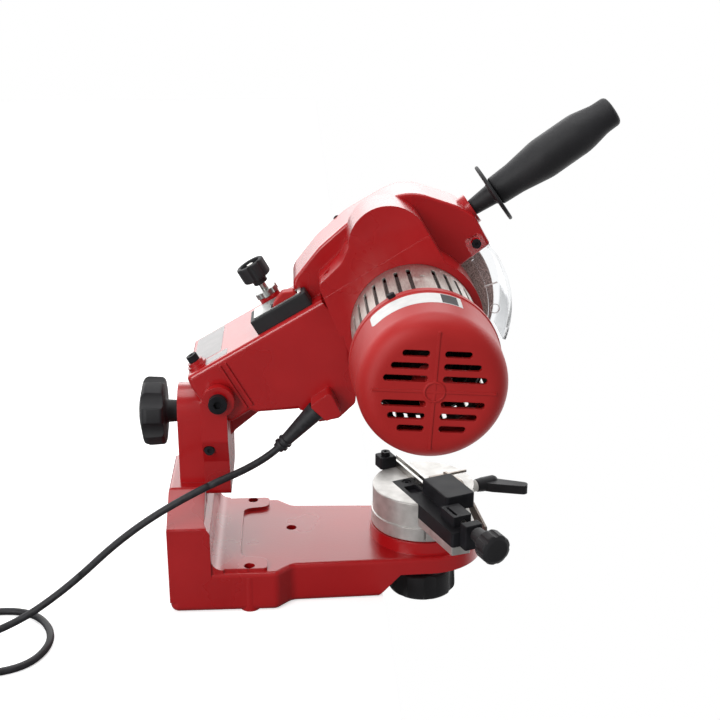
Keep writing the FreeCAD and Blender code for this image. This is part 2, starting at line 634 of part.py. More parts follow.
cap = part("motor_end_cap", "head", ON_AXLE, "-cap_clock")
spin = turned(cap, "Y", HUB, [
    ("0", "-cap_face"), ("tube_radius + cap_face_over", "-cap_face", "cap_round"),
    ("tube_radius + cap_over_tube - 0.8", "-cap_back - 7"),
    ("tube_radius + cap_over_tube", "-cap_back - 6.4"), ("tube_radius + cap_over_tube", "-cap_back"),
    ("tube_radius + 0.1", "-cap_back"), ("tube_radius + 0.1", "-tube_end - 0.5"),
    ("tube_radius + cap_over_tube - 0.8 - cap_wall", "-tube_end - 1.5"),
    ("tube_radius + cap_face_over - cap_wall", "-cap_face + cap_wall", "cap_round - cap_wall"),
    ("0", "-cap_face + cap_wall")])
disc(cap, "Y", HUB, "14", "-cap_face + cap_wall - 1", "-cap_face + 18")
disc(cap, "Y", HUB, "11.02", "-cap_face + 11", "-cap_face + 19", cut=True)
disc(cap, "Y", HUB, "8", "-cap_face + 6", "-cap_face + 12", cut=True)
for row, reach in ((1, "35"), (2, "30.4"), (3, "23.4")):
    for up in ("-", ""):
        low, high = ("%s%d * vent_pitch %s 2.3" % (up, row, sign) for sign in "-+")
        for side in ("-", ""):
            inner, outer = side + "5", side + reach
            prism(cap, "XZ", [(inner, low, "2.2"), (outer, low, "2.2"), (outer, high, "2.2"),
                              (inner, high, "2.2")], "-cap_face - 1", "-cap_face + 15", cut=True)
hole = disc(cap, "X", ("-cap_back - 3.2", "0"), "1.55", "tube_radius + cap_over_tube - 8",
            "tube_radius + cap_over_tube + 6", cut=True)
around(cap, hole, spin, 3)
turned(cap, "Y", HUB, [("0", "-cap_face - 1"), ("7.6", "-cap_face - 1", "0.7"),
                       ("7.6", "-cap_face + 1"), ("0", "-cap_face + 1")])
turned(cap, "Y", HUB, ring("0", "6.2", "-cap_face - 2", "-cap_face - 0.3"), cut=True)
for wide, tall in (("42", "0.9"), ("0.9", "42")):
    prism(cap, "XZ", [("-" + wide, "-" + tall), (wide, "-" + tall), (wide, tall), ("-" + wide, tall)],
          "-cap_face - 0.5", "-cap_face + 5")
for letter, degrees in zip("abc", (0, 120, 240)):
    turn = "%d - cap_clock" % degrees
    across, up = ray(turn, "tube_radius + cap_over_tube")
    body = part("cap_screw_" + letter, "head", (across, "-cap_back - 3.2", up), turn)
    turned(body, "X", HUB, [("0", "-4.9"), ("1.5", "-4.9"), ("1.5", "0.05"), ("2.9", "0.05"),
                            ("2.7", "3", "0.8"), ("0", "3.2")])

stator = part("stator_core", "head")
turned(stator, "Y", AXLE, ring("31", "tube_radius - tube_wall - 0.02", "-132", "-84"))
for low, high in (("-143", "-131"), ("-85", "-75")):
    turned(stator, "Y", AXLE, [("33", low, "3"), ("tube_radius - 6", low, "3"),
                               ("tube_radius - 6", high, "3"), ("33", high, "3")])

for name, low, high in (("front_bearing", "-38", "-31"), ("rear_bearing", "-cap_face + 11.05",
                                                          "-cap_face + 18")):
    bearing = part(name, "head")
    turned(bearing, "Y", AXLE, [
        ("shaft_radius - 1.98", low), ("6.6", low), ("7", low + " + 0.6"), ("8.8", low + " + 0.6"),
        ("9.2", low), ("11", low), ("11", high), ("9.2", high), ("8.8", high + " - 0.6"),
        ("7", high + " - 0.6"), ("6.6", high), ("shaft_radius - 1.98", high)])

# --- rotor: shaft, armature, fan, flanges, nut and grinding wheel ---
shaft = part("shaft", "head")
turned(shaft, "Y", AXLE, [
    ("0", "-cap_face + 9"), ("shaft_radius - 2", "-cap_face + 9"),
    ("shaft_radius - 2", "-cap_face + 18.5"), ("shaft_radius", "-cap_face + 18.5"),
    ("shaft_radius", "-38.5"), ("shaft_radius - 2", "-38.5"), ("shaft_radius - 2", "14"),
    ("0", "14")])

armature = part("armature", "head")
turned(armature, "Y", AXLE, [
    ("shaft_radius", "-162"), ("13", "-162"), ("13", "-148"), ("20", "-146", "2"),
    ("24", "-133", "3"), ("29.6", "-132"), ("29.6", "-84"), ("24", "-83"), ("20", "-74", "3"),
    ("shaft_radius", "-74")])
fan = part("fan", "head")
spin = turned(fan, "Y", AXLE, [("shaft_radius", "-70"), ("12", "-70"), ("12", "-63.5"),
                               ("38", "-63.5"), ("38", "-62"), ("shaft_radius", "-62")])
blade = prism(fan, "XZ", [("wheel_reach - 0.8", "wheel_rise + 11"),
                          ("wheel_reach + 0.8", "wheel_rise + 11"),
                          ("wheel_reach + 0.8", "wheel_rise + 37"),
                          ("wheel_reach - 0.8", "wheel_rise + 37")], "-70", "-63")
around(fan, blade, spin, 12)

inner_flange = part("inner_flange", "head")
turned(inner_flange, "Y", AXLE, [
    ("shaft_radius - 2", "-14"), ("10", "-14"), ("10", "-8"), ("21", "-6", "2"), ("21", "-1.65"),
    ("wheel_bore_radius - 0.03", "-1.65"), ("wheel_bore_radius - 0.03", "1.4"),
    ("shaft_radius - 2", "1.4")])
wheel = part("grinding_wheel", "head")
turned(wheel, "Y", AXLE, [
    ("wheel_bore_radius", "-wheel_thick / 2"), ("wheel_radius - 1.2", "-wheel_thick / 2"),
    ("wheel_radius", "0", "0.8"), ("wheel_radius - 1.2", "wheel_thick / 2"),
    ("wheel_bore_radius", "wheel_thick / 2")])
outer_flange = part("outer_flange", "head")
turned(outer_flange, "Y", AXLE, [("shaft_radius - 2", "1.65"), ("21", "1.65"), ("21", "5", "2"),
                                 ("10", "7"), ("shaft_radius - 2", "7")])
arbor_nut = part("arbor_nut", "head")
flats = [("wheel_reach + 8.5 * %.4f" % math.cos(math.radians(60 * i)),
          "wheel_rise + 8.5 * %.4f" % math.sin(math.radians(60 * i))) for i in range(6)]
prism(arbor_nut, "XZ", flats, "7.02", "13")
disc(arbor_nut, "Y", AXLE, "shaft_radius - 2", "0", "20", cut=True)

# --- handle: stem, hand guard disc and grip, on one line that leans up from the arm ---
HANDLE = ("wheel_reach + handle_ahead", "0", "handle_h")
stem = part("handle_stem", "head", HANDLE, "handle_angle")
turned(stem, "X", ("0", "0"), rod("5", "-8.98", "disc_from_root + 90"))
hand_guard = part("hand_guard", "head", HANDLE, "handle_angle")
turned(hand_guard, "X", ("0", "0"), [
    ("5.02", "0.02"), ("6.6", "0.02", "0.6"), ("8.6", "disc_from_root", "2"),
    ("25.5", "disc_from_root", "1.4"), ("25.5", "disc_from_root + 3", "1.4"),
    ("5.02", "disc_from_root + 3")])
grip = part("handle_grip", "head", HANDLE, "handle_angle")
turned(grip, "X", ("0", "0"), [
    ("5.02", "disc_from_root + 3.02"), ("12", "disc_from_root + 3.02", "2"),
    ("13", "disc_from_root + 22", "40"), ("16.8", "disc_from_root + 48", "40"),
    ("16.6", "disc_from_root + 84", "50"), ("12.8", "disc_from_root + grip_length - 10", "20"),
    ("12.4", "disc_from_root + grip_length + 3", "4"), ("0", "disc_from_root + grip_length + 3"),
    ("0", "disc_from_root + 91"), ("5.02", "disc_from_root + 91")])

# --- switch, depth stop and cable entry ---
switch_box = part("switch_box", "head")
beside_guard = "-chamber_near - 5.3"
prism(switch_box, "XY", [("54", "-41", "2"), ("104", "-41", "2"), ("104", beside_guard, "1"),
                         ("84", beside_guard), ("84", "-12", "2"), ("54", "-12", "2")],
      "arm_top + 0.02", "arm_top + 12")
rounded(switch_box, "1", flat_at("Z", "arm_top + 12"))
well = [("74", "-38.5"), ("98", "-38.5"), ("98", "-27.5"), ("74", "-27.5")]
prism(switch_box, "XY", well, "arm_top + 8", "arm_top + 13", cut=True)
switch_plate = part("switch_plate", "head")
prism(switch_plate, "XY", [("58", "-39.5", "2"), ("101", "-39.5", "2"), ("101", beside_guard, "1"),
                           ("83.5", beside_guard), ("83.5", "-14", "2"), ("58", "-14", "2")],
      "arm_top + 12.02", "arm_top + 13.2")
prism(switch_plate, "XY", well, "arm_top + 11", "arm_top + 14", cut=True)
flap = part("switch_flap", "head")
FLAP_PIN = ("77.2", "arm_top + 11.5")
prism(flap, "XZ", [("76.4", "arm_top + 9.5"), ("96.5", "arm_top + 9.5"),
                   ("96.5", "arm_top + 16", "2"), ("88", "arm_top + 19.5", "3"),
                   ("78.6", "arm_top + 15.6", "2"), ("75.2", "arm_top + 12.6"),
                   ("75.2", "arm_top + 10.7")], "-38", "-28")
rounded(flap, "1", lambda edge: edge.BoundBox.ZMin > value("arm_top") + 14
        and edge.BoundBox.YLength < 0.01)
disc(flap, "Y", FLAP_PIN, "2.3", "-38", "-28")

depth_screw = part("depth_screw", "head")
turned(depth_screw, "Z", ("72", "0"), [("0", "8"), ("2", "8"), ("2.8", "9"),
                                       ("2.8", "arm_top + 44"), ("0", "arm_top + 44")])
lock_nut = part("lock_nut", "head")
spin = turned(lock_nut, "Z", ("72", "0"), ring("2.85", "9.8", "arm_top + 15.3", "arm_top + 20"))
notch = disc(lock_nut, "Z", ("72 + 11.4", "0"), "3", "arm_top", "arm_top + 30", cut=True)
around(lock_nut, notch, spin, 6)
depth_knob = part("depth_knob", "head")
spin = turned(depth_knob, "Z", ("72", "0"), [
    ("2.82", "arm_top + 26"), ("6", "arm_top + 26", "1"), ("6", "arm_top + 31"),
    ("12", "arm_top + 31", "2"), ("12", "arm_top + 45", "1.5"), ("8.5", "arm_top + 45", "1"),
    ("8.5", "arm_top + 41"), ("2.82", "arm_top + 41")])
notch = disc(depth_knob, "Z", ("72 + 13.4", "0"), "2.6", "arm_top + 29.5", "arm_top + 50", cut=True)
around(depth_knob, notch, spin, 8)

relief = part("strain_relief", "head", ("64", "-arm_half - 8", "-46"), "16")
turned(relief, "X", ("0", "0"), [
    ("3.05", "-46"), ("4.5", "-46", "0.6"), ("4.7", "-43"), ("6.1", "-42.6", "0.4"),
    ("6.1", "-40.4", "0.4"), ("4.9", "-40"), ("5", "-38.6"), ("6.2", "-38.2", "0.4"),
    ("6.2", "-36", "0.4"), ("5.1", "-35.6"), ("7.4", "-8", "30"), ("8", "-0.35"),
    ("3.05", "-0.35")])

# --- turntable and chain vise; along the rails runs -Y, across them X ---
table = part("turntable_disc", "table")
turned(table, "Z", HUB, [("0", "table_low"), ("table_radius", "table_low", "1"),
                         ("table_radius", "table_low + 12"), ("table_top_radius", "table_low + 12.6"),
                         ("table_top_radius", "table_top", "1.2"), ("0", "table_top")])
prism(table, "XY", [("-vise_left - 0.1", "-60"), ("-vise_right + 0.1", "-60"),
                    ("-vise_right + 0.1", "vise_far + 0.1"),
                    ("-vise_left - 0.1", "vise_far + 0.1")], "vise_low", "table_top + 1", cut=True)
prism(table, "XY", [("-vise_left - 0.1", "-60"), ("-bar_right + 0.1", "-60"),
                    ("-bar_right + 0.1", "vise_far + 0.1"),
                    ("-vise_left - 0.1", "vise_far + 0.1")], "bar_low", "vise_low + 1", cut=True)
prism(table, "XY", [("-0.9", "-20"), ("9", "-20"), ("9", "-4"), ("-0.9", "-4")], "66",
      "table_top + 1", cut=True)
BOLT = ("-12", "74.5")
disc(table, "X", BOLT, "2.6", "8", "60", cut=True)
disc(table, "X", BOLT, "5.05", "36", "60", cut=True)
disc(table, "Z", HUB, "table_stud_radius + 0.01", "table_low - 1", "table_low + 12", cut=True)
prism(table, "YZ", [("-41", "table_low + 2"), ("-40", "table_low + 2"), ("-40", "table_top + 1"),
                    ("-41", "table_top + 1")], "-20", "-12", cut=True)

table_stud = part("table_stud", "table")
turned(table_stud, "Z", HUB, rod("table_stud_radius", "-table_knob_low + 4", "table_low + 11.9"))

table_knob = part("table_knob", "table")
spin = turned(table_knob, "Z", HUB, [
    ("table_stud_radius + running_gap", "-table_knob_low + 3"), ("0", "-table_knob_low + 3"),
    ("0", "-table_knob_low"), ("14", "-table_knob_low", "5"),
    ("table_knob_radius", "-table_knob_low + 2", "4"),
    ("table_knob_radius - 1", "table_knob_high", "3"), ("13", "table_knob_high", "2"),
    ("11", "nose_under - face_gap"), ("table_stud_radius + running_gap", "nose_under - face_gap")])
flute = disc(table_knob, "Z", ("table_knob_radius + 7", "0"), "10", "-table_knob_low - 1",
             "table_knob_high + 1", cut=True)
around(table_knob, flute, spin, 7)

vise_arm = part("vise_arm", "table")
prism(vise_arm, "XY", [("-vise_left", "vise_far"), ("-vise_left", "-bar_near + 2", "1"),
                       ("-bar_right", "-bar_near", "1"), ("-bar_right", "vise_far")],
      "bar_low + 0.02", "vise_low - 0.02")

vise = part("vise_base", "table")
prism(vise, "XY", [("-vise_left", "vise_far", "2"), ("-vise_left", "-vise_near", "2"),
                   ("-vise_right", "-vise_near", "2"), ("-vise_right", "vise_far", "2")],
      "vise_low", "table_top")
prism(vise, "XY", [("-10", "-rail_near - 0.5"), ("-10", "-60", "3"), ("17", "-60", "3"),
                   ("17", "-rail_near - 0.5", "2")], "table_top", "table_top + 13")
rounded(vise, "1", flat_at("Z", "table_top + 13"))
prism(vise, "XY", [("-20", "-1.5", "1.5"), ("-20", "-16", "1.5"), ("-8.5", "-16", "1.5"),
                   ("-8.5", "-1.5", "1.5")], "table_top - 4", "table_top + 1", cut=True)
disc(vise, "Z", ("-12.6", "7"), "4.2", "table_top - 4", "table_top + 1", cut=True)
disc(vise, "Z", ("-12.6", "7"), "2.1", "vise_low - 1", "table_top", cut=True)
disc(vise, "X", ("-40", "table_top + 6"), "2.05", "1", "18", cut=True)

left_rail = "-rail_mid - rail_gap / 2"
right_rail = "-rail_mid + rail_gap / 2"
fixed_rail = part("fixed_rail", "table")
prism(fixed_rail, "XY", [(left_rail + " - rail_thick", "-rail_near"), (left_rail, "-rail_near"),
                         (left_rail, "rail_far"), (left_rail + " - rail_thick", "rail_far")],
      "table_top + 0.02", "rail_top")
rounded(fixed_rail, "0.4", flat_at("Z", "rail_top"))
end_block = part("rail_end_block", "table")
prism(end_block, "XY", [("-22", "38", "2"), (left_rail + " - rail_thick - 0.02", "38"),
                        (left_rail + " - rail_thick - 0.02", "rail_far"), ("-22", "rail_far", "2")],
      "table_top + 0.02", "rail_top + 4.5")
rounded(end_block, "0.8", flat_at("Z", "rail_top + 4.5"))
disc(end_block, "Z", ("-14.5", "45"), "2.1", "table_top - 1", "rail_top + 6", cut=True)
screw("rail_end_screw", "table", "Z", ("-14.5", "45"), "4", "2.08", "rail_top + 8",
      "rail_top + 4.52", "table_top + 1", "1.8")

clamp_rail = part("clamp_rail", "table")
prism(clamp_rail, "XY", [(right_rail, "-rail_near"), (right_rail + " + rail_thick", "-rail_near"),
                         (right_rail + " + rail_thick", "rail_far - 2"), (right_rail, "rail_far - 2")],
      "table_top + 0.1", "rail_top")
rounded(clamp_rail, "0.4", flat_at("Z", "rail_top"))
prism(clamp_rail, "XY", [(right_rail + " + 1", "-16"), ("5.4", "-16"), ("5.4", "-8"),
                         (right_rail + " + 1", "-8")], "rail_top - 4", "rail_top")
prism(clamp_rail, "XY", [("2.4", "-16"), ("5.4", "-16"), ("5.4", "-8"), ("2.4", "-8")],
      "69", "rail_top")
clamp_bolt = part("clamp_bolt", "table")
turned(clamp_bolt, "X", BOLT, rod("2.55", "5.42", "64"))
bush = part("clamp_bush", "table")
turned(bush, "X", BOLT, ring("2.6", "5", "36.02", "46"))

lever = part("clamp_lever", "table")
turned(lever, "X", BOLT, [("2.6", "46.3"), ("5.6", "46.3", "0.8"), ("6.3", "52"), ("6.3", "64", "1"),
                          ("5", "66.5", "1"), ("0", "66.5"), ("0", "64.4"), ("2.6", "64.4")])
prism(lever, "XY", [("54", "-12"), ("65", "-12", "2"), ("87", "-32", "4"), ("82", "-39", "4"),
                    ("57", "-21", "6"), ("52", "-16", "2")], "70", "78")
turned(lever, "X", BOLT, ring("0", "2.6", "44", "64.4"), cut=True)

# chain stop: a leaf on a pin, a slide along the rails and the screw that moves it
STOP = ("-stop_w", "stop_z")
leaf = part("stop_leaf", "table")
prism(leaf, "YZ", [("-4", "table_top + 2", "2"), ("-4", "table_top + 9", "3"),
                   ("-34", "table_top + 12.5", "6"), ("-50", "table_top + 4", "10"),
                   ("-77", "table_top - 12", "2"), ("-77", "table_top - 18", "2"),
                   ("-58", "table_top - 13", "10"), ("-40", "table_top + 1.5", "8")],
      "17.3", "19.3")
disc(leaf, "X", ("-40", "table_top + 6"), "2.05", "16", "22", cut=True)
prism(leaf, "XY", [("3", "-4.5"), ("39", "-5.5"), ("39", "-7"), ("3", "-7")],
      "table_top + 5", "table_top + 7")
pin = part("leaf_pin", "table")
turned(pin, "X", ("-40", "table_top + 6"), [("0", "2"), ("2", "2"), ("2", "19.6"), ("3.6", "19.6"),
                                            ("3.6", "21", "0.6"), ("0", "21")])

slide = part("stop_slide", "table")
prism(slide, "XY", [("-18", "-64", "1"), ("-18", "-86", "1"), ("-1.5", "-86", "1"),
                    ("-1.5", "-64", "1")], "table_top + 0.1", "table_top + 9")
prism(slide, "XY", [("-15", "-67", "1"), ("-15", "-83", "1"), ("-12.6", "-83", "1"),
                    ("-12.6", "-67", "1")], "table_top + 5", "table_top + 10", cut=True)
disc(slide, "Y", STOP, "2.55", "-90", "-60", cut=True)
holder = part("stop_holder", "table")
prism(holder, "XY", [("-17", "-vise_near - 0.02"), ("-17", "-vise_near - 9", "1.5"),
                     ("-1.5", "-vise_near - 9", "1.5"), ("-1.5", "-vise_near - 0.02")],
      "vise_low + 0.1", "table_top + 8.5")
rounded(holder, "1", flat_at("Z", "table_top + 8.5"))
disc(holder, "Y", STOP, "2.55", "-vise_near - 12", "-vise_near + 2", cut=True)
stop_screw = part("stop_screw", "table")
turned(stop_screw, "Y", STOP, rod("2.5", "-134", "-66"))
stop_knob = part("stop_knob", "table")
spin = turned(stop_knob, "Y", STOP, [
    ("2.51", "-135"), ("0", "-135"), ("0", "-139"), ("9", "-139", "2"), ("12.6", "-137", "1.5"),
    ("12.6", "-125", "1.5"), ("7", "-124"), ("6", "-108"), ("2.51", "-108")])
notch = disc(stop_knob, "Y", ("-stop_w + 14.2", "stop_z"), "2.8", "-141", "-123.6", cut=True)
around(stop_knob, notch, spin, 8)

# --- mains cord on the bench, with its spare length tied in a coil, and the plug ---


def smooth_wire(corners, radii):
    """Straight runs through the corners, joined by arcs."""
    edges, last = [], corners[0]
    for i in range(1, len(corners) - 1):
        here = corners[i]
        back, ahead = (corners[i - 1] - here).normalize(), (corners[i + 1] - here).normalize()
        half = back.getAngle(ahead) / 2
        run = radii[i - 1] / math.tan(half)
        centre = here + (back + ahead).normalize() * (radii[i - 1] / math.sin(half))
        first, second = here + back * run, here + ahead * run
        middle = centre + (here - centre).normalize() * radii[i - 1]
        edges += [Part.LineSegment(last, first).toShape(), Part.Arc(first, middle, second).toShape()]
        last = second
    edges.append(Part.LineSegment(last, corners[-1]).toShape())
    return Part.Wire(edges)


def corner_radii(corners, most):
    found = []
    for i in range(1, len(corners) - 1):
        back, ahead = corners[i - 1] - corners[i], corners[i + 1] - corners[i]
        half = math.pi / 2 - back.getAngle(ahead) / 2
        found.append(min(most, 0.45 * min(back.Length, ahead.Length) / math.tan(half)))
    return found


def piped(name, corners, radius, most):
    """A round cord swept along smoothed runs."""
    wire = smooth_wire(corners, corner_radii(corners, most))
    start = wire.OrderedEdges[0]
    ahead = start.tangentAt(start.FirstParameter)
    circle = Part.Wire(Part.makeCircle(radius, corners[0], ahead))
    body = doc.addObject("Part::Feature", name)
    body.Label = name
    body.Shape = wire.makePipeShell([circle], True, True)
    body.Placement = Placement()
    NODES.append(body)
    return body


cord_size = value("cord_radius")
CORD = [(28.4, -54, 143.7), (14.5, -54, 129.3), (-42, -77, 114.5), (-97, -80, 80.5), (-148, -79, 31),
        (-194, -92, 4.2), (-250, -122, 3), (-312, -142, 3), (-358, -98, 3), (-314, -52, 3),
        (-254, -72, 3), (-184, -58, 3), (-152, -104, 3), (-170, -152, 3), (-235, -154, 3)]
TAIL = [(-235, -154, 9), (-264, -153, 8), (-288, -166, 12), (-300, -186, 18.5)]
piped("cord", [Vector(*point) for point in CORD], cord_size, 300)
piped("cord_tail", [Vector(*point) for point in TAIL], cord_size, 300)

coil = part("cord_coil", "bench", ("coil_x", "coil_y", "0"))
turned(coil, "Z", HUB, [
    ("coil_mid_radius - 2 * cord_radius", "0", "2.9"),
    ("coil_mid_radius + 2 * cord_radius", "0", "2.9"),
    ("coil_mid_radius + 2 * cord_radius", "4 * cord_radius", "2.9"),
    ("coil_mid_radius - 2 * cord_radius", "4 * cord_radius", "2.9")])

plug = part("plug", "bench", ("-300", "-186", "plug_radius"))
plug.setExpression("Placement.Rotation.Angle", None)
plug.Placement = Placement(Vector(-300, -186, value("plug_radius")), Rotation(Vector(0, 0, 1), -120))
turned(plug, "X", HUB, [("0", "0"), ("4.2", "0", "1"), ("6", "14"), ("13", "18", "4"),
                        ("plug_radius", "24", "3"), ("plug_radius", "38", "1.5"), ("0", "38")])
for side in ("-9.5", "9.5"):
    disc(plug, "X", (side, "0"), "2.4", "37", "56")

doc.recompute()
failed = [item.Label for item in doc.Objects
          if set(item.State) & {"Invalid", "Error"}]
for body in NODES:
    if body.Shape.isNull() or not body.Shape.isValid():
        failed.append(body.Label)
if failed:
    raise RuntimeError("failed: " + ", ".join(failed))
os.makedirs("parts", exist_ok=True)
for body in NODES:
    body.Shape.exportStep("parts/%s.step" % body.Label)
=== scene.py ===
import json
import math

import bmesh
import bpy
from mathutils import Matrix, Vector


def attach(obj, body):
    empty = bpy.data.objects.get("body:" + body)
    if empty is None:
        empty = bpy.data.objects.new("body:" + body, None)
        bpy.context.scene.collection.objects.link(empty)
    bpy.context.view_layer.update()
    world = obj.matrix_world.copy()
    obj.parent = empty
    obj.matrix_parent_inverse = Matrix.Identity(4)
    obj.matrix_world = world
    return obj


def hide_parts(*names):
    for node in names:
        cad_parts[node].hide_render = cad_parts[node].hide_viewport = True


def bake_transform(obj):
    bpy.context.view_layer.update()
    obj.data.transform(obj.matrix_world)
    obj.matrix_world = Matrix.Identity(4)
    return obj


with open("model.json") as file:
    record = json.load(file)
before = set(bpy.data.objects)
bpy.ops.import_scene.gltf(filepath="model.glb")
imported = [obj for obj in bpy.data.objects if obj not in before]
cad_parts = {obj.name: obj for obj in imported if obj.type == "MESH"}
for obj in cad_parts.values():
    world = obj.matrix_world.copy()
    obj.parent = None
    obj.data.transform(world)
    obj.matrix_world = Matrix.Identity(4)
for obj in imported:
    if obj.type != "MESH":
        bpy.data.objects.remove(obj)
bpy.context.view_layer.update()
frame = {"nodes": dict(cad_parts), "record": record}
NODES = frame["nodes"]
scene = bpy.context.scene

# Lengths and places on the machine are written in millimetres, and angles in degrees. Lamps,
# bench and surface depths are in metres.
MM = 0.001
ARM_ANGLE = math.radians(30)
TABLE_TURN = math.radians(22)
PIVOT = Vector((-20.8, 0, 181.8)) * MM
TABLE_AXIS_X = 150.4

# In the arm's own frame, from its pivot: the wheel's axle, and faces that pieces stand on.
AXLE_ALONG, AXLE_UP = 166.1, -20.8
ARM_TOP = 28
COVER_SIDE = 22.5
GUARD_SIDE = -27.5

# The end cap's skirt tapers between these two places across the arm.
SKIRT_START, SKIRT_START_RADIUS = -153, 53.7
SKIRT_END, SKIRT_END_RADIUS = -207, 51.3
SKIRT_MID_RADIUS = 53


def head_point(along, across, up):
    """A place in the arm's own frame as a point in the scene, in metres."""
    c, s = math.cos(ARM_ANGLE), math.sin(ARM_ANGLE)
    return PIVOT + Vector((along * c - up * s, across, along * s + up * c)) * MM


def axle_point(turn, reach, across):
    """A place on the head by its angle and distance about the wheel's axle, in metres."""
    angle = math.radians(turn)
    return head_point(AXLE_ALONG + reach * math.cos(angle), across,
                      AXLE_UP + reach * math.sin(angle))


def table_point(across, along, up):
    """A place in the turned table's frame as a point in the scene, in metres."""
    c, s = math.cos(TABLE_TURN), math.sin(TABLE_TURN)
    return Vector((TABLE_AXIS_X + across * c - along * s, across * s + along * c, up)) * MM


# --- shader parts ---

def linear(*rgb):
    """sRGB values of 0 to 255 as scene-linear colour."""
    return tuple((v / 255 / 12.92) if v / 255 <= 0.04045 else ((v / 255 + 0.055) / 1.055) ** 2.4
                 for v in rgb)


def surface_material(name, colour, roughness, metallic=0.0):
    """A plain material. Patterns are linked over its colour and roughness afterwards."""
    mat = bpy.data.materials.new(name)
    mat.use_nodes = True
    nodes, links = mat.node_tree.nodes, mat.node_tree.links
    surface = nodes["Principled BSDF"]
    surface.inputs["Base Color"].default_value = (*colour, 1)
    surface.inputs["Roughness"].default_value = roughness
    surface.inputs["Metallic"].default_value = metallic
    return mat, nodes, links, surface


def texture(nodes, links, kind, scale, stretch=(1, 1, 1), **inputs):
    """A pattern in the object's own coordinates, with its own inputs set by name."""
    place = nodes.new("ShaderNodeTexCoord")
    mapping = nodes.new("ShaderNodeMapping")
    mapping.inputs["Scale"].default_value = stretch
    links.new(place.outputs["Object"], mapping.inputs["Vector"])
    pattern = nodes.new(kind)
    pattern.inputs["Scale"].default_value = scale
    for key, number in inputs.items():
        pattern.inputs[key].default_value = number
    links.new(mapping.outputs["Vector"], pattern.inputs["Vector"])
    return pattern


def out(pattern):
    return pattern.outputs.get("Fac") or pattern.outputs.get("Distance")


def spread(nodes, links, source, low, high, start=0.3, end=0.7):
    """A pattern's value carried from the range start to end to the range low to high."""
    rescale = nodes.new("ShaderNodeMapRange")
    rescale.inputs["From Min"].default_value = start
    rescale.inputs["From Max"].default_value = end
    rescale.inputs["To Min"].default_value = low
    rescale.inputs["To Max"].default_value = high
    links.new(source, rescale.inputs["Value"])
    return rescale.outputs["Result"]


def shade(nodes, links, surface, source, dark, light):
    """Colour that drifts between two tones with a pattern."""
    mix = nodes.new("ShaderNodeMix")
    mix.data_type = "RGBA"
    mix.inputs["A"].default_value = (*dark, 1)
    mix.inputs["B"].default_value = (*light, 1)
    links.new(source, mix.inputs["Factor"])
    links.new(mix.outputs["Result"], surface.inputs["Base Color"])


def soften(nodes, links, surface, height, strength, depth, edge):
    """Bump from a pattern, over edges that catch the light as if slightly rounded."""
    bevel = nodes.new("ShaderNodeBevel")
    bevel.samples = 4
    bevel.inputs["Radius"].default_value = edge
    bump = nodes.new("ShaderNodeBump")
    bump.inputs["Strength"].default_value = strength
    bump.inputs["Distance"].default_value = depth
    links.new(height, bump.inputs["Height"])
    links.new(bevel.outputs["Normal"], bump.inputs["Normal"])
    links.new(bump.outputs["Normal"], surface.inputs["Normal"])


def path_ray(nodes, name):
    """1 for rays of the named kind, and 0 for the others."""
    return nodes.new("ShaderNodeLightPath").outputs[name]


def choose(nodes, factor, low, high):
    """One of two strengths, by a factor; either may be a number or an output."""
    mix = nodes.new("ShaderNodeMix")
    for socket, level in ((mix.inputs["A"], low), (mix.inputs["B"], high)):
        if isinstance(level, float):
            socket.default_value = level
        else:
            nodes.id_data.links.new(level, socket)
    nodes.id_data.links.new(factor, mix.inputs["Factor"])
    return mix.outputs["Result"]


# --- camera, light and bench ---

# The view, fitted to the photograph.
CAMERA_PLACE = (41.83, -966.08, 543.24)
CAMERA_TURN, CAMERA_DROP, CAMERA_ROLL = 3.16, 19.74, 0.05
CAMERA_LENS, SENSOR_WIDTH = 61.4, 36

# Strength of the surroundings: as soft light on the machine, and as mirrored from its front.
ROOM_LIGHT = 0.42
DIM_FRONT = 0.14


def set_camera():
    camera = bpy.data.objects.new("camera", bpy.data.cameras.new("camera"))
    scene.collection.objects.link(camera)
    camera.data.lens = CAMERA_LENS
    camera.data.sensor_width = SENSOR_WIDTH
    camera.data.clip_end = 20
    turn, drop, roll = (math.radians(angle) for angle in (CAMERA_TURN, CAMERA_DROP, CAMERA_ROLL))
    forward = Vector((math.sin(turn) * math.cos(drop), math.cos(turn) * math.cos(drop),
                      -math.sin(drop)))
    camera.location = Vector(CAMERA_PLACE) * MM
    camera.rotation_euler = (forward.to_track_quat("-Z", "Y").to_matrix()
                             @ Matrix.Rotation(roll, 3, "Z")).to_euler()
    scene.camera = camera


def area_light(name, place, target, size, power):
    lamp = bpy.data.objects.new(name, bpy.data.lights.new(name, "AREA"))
    scene.collection.objects.link(lamp)
    lamp.data.shape = "RECTANGLE"
    lamp.data.size, lamp.data.size_y = size
    lamp.data.energy = power
    lamp.location = place
    lamp.rotation_euler = (Vector(target) - Vector(place)).to_track_quat("-Z", "Y").to_euler()


def sweep_strength(nodes, links):
    """Brightness by direction: dim before the machine, a bright white sweep low behind it."""
    split = nodes.new("ShaderNodeSeparateXYZ")
    links.new(nodes.new("ShaderNodeTexCoord").outputs["Generated"], split.inputs["Vector"])
    behind = spread(nodes, links, split.outputs["Y"], low=0.0, high=1.0, start=-0.1, end=0.6)
    rising = spread(nodes, links, split.outputs["Z"], low=1.6, high=3.4, start=0.05, end=0.3)
    falling = spread(nodes, links, split.outputs["Z"], low=1.0, high=0.22, start=0.36, end=0.66)
    glow = nodes.new("ShaderNodeMath")
    glow.operation = "MULTIPLY"
    links.new(rising, glow.inputs[0])
    links.new(falling, glow.inputs[1])
    return choose(nodes, behind, DIM_FRONT, glow.outputs[0])


